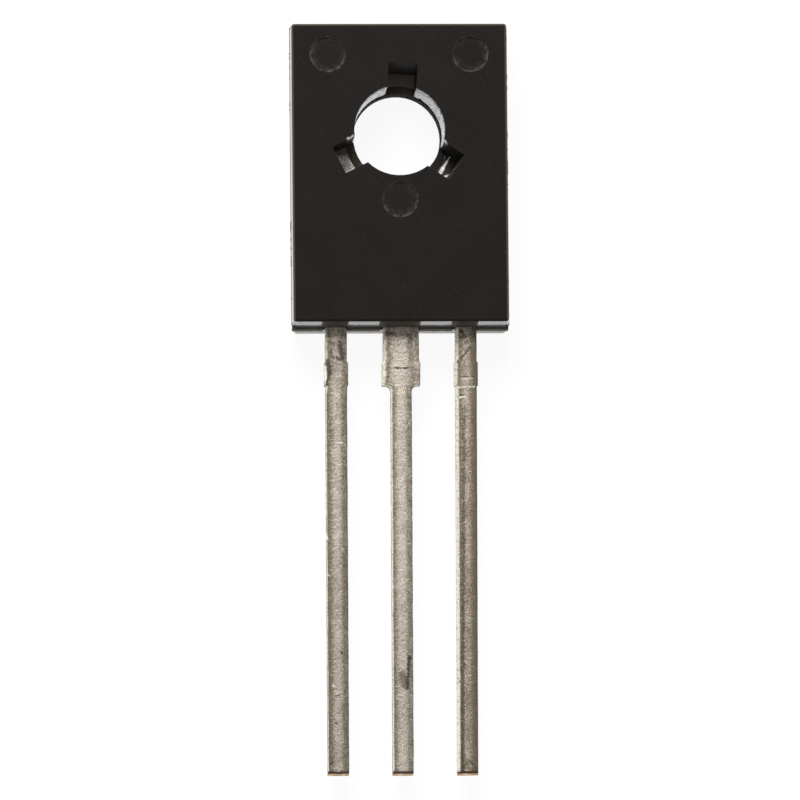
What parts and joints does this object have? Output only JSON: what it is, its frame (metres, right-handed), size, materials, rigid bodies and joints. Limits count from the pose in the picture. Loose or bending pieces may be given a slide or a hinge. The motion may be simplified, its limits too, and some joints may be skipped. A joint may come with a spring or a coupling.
{
  "type": "power transistor",
  "caption": "Flat three-lead power transistor: black epoxy moulding with a screw hole, a bare metal mounting plate at the back and straight tinned leads.",
  "frame": {"origin": "centre of the screw hole on the metal mounting face, which lies at Z = 0", "axes": "+Z out of the marked front face along the screw hole, +Y along the leads' length towards the end with the hole, +X across, from the emitter lead to the base lead"},
  "size_m": [0.0078, 0.0267, 0.0027],
  "materials": {
    "epoxy": "black moulding compound, fine matt texture from the mould",
    "tinned_copper": "stamped copper with a dull tin coat",
    "silicon": "sawn silicon with a metal layer",
    "solder": "solder, dull",
    "aluminium_wire": "drawn aluminium wire"
  },
  "bodies": {
    "root": {"moulding": "epoxy", "collector_frame": "tinned_copper", "emitter_lead": "tinned_copper", "base_lead": "tinned_copper", "chip": "silicon", "chip_solder": "solder", "emitter_wire": "aluminium_wire", "base_wire": "aluminium_wire"}
  },
  "joints": []
}
